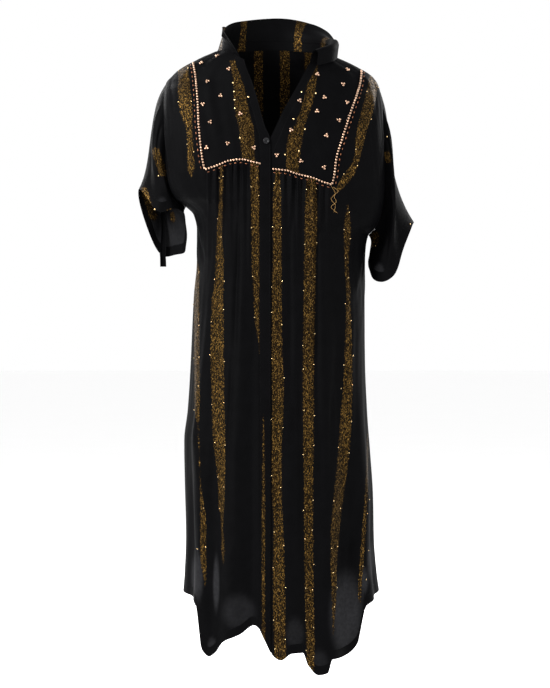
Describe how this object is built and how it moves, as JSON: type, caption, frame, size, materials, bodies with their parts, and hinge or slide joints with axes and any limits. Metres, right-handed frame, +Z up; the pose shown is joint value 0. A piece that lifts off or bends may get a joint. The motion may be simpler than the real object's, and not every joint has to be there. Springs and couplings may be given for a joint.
{
  "type": "kaftan",
  "caption": "Worn mid-calf kaftan dress with an open shirt collar, a gathered skirt under a front yoke, short rolled sleeves and a curved hem",
  "frame": {"origin": "between the shoulders, at the height of the shoulder line, where the wearer holds the garment up", "axes": "+Z up along the garment, +X to the wearer's left, -Y out of the front"},
  "size_m": [0.5518, 0.3121, 1.3021],
  "materials": {
    "cloth": "thin black crepe with gold glitter stripes",
    "button": "glossy black"
  },
  "bodies": {
    "root": {"front_right": "cloth", "front_left": "cloth", "yoke_right": "cloth", "yoke_left": "cloth", "back": "cloth", "sleeve_right": "cloth", "sleeve_left": "cloth", "placket_right": "cloth", "placket_left": "cloth", "collar_stand": "cloth", "collar": "cloth", "sleeve_tab_right": "cloth", "sleeve_tab_left": "cloth", "neck_button": "button", "sleeve_button_right": "button", "sleeve_button_left": "button"}
  },
  "joints": []
}
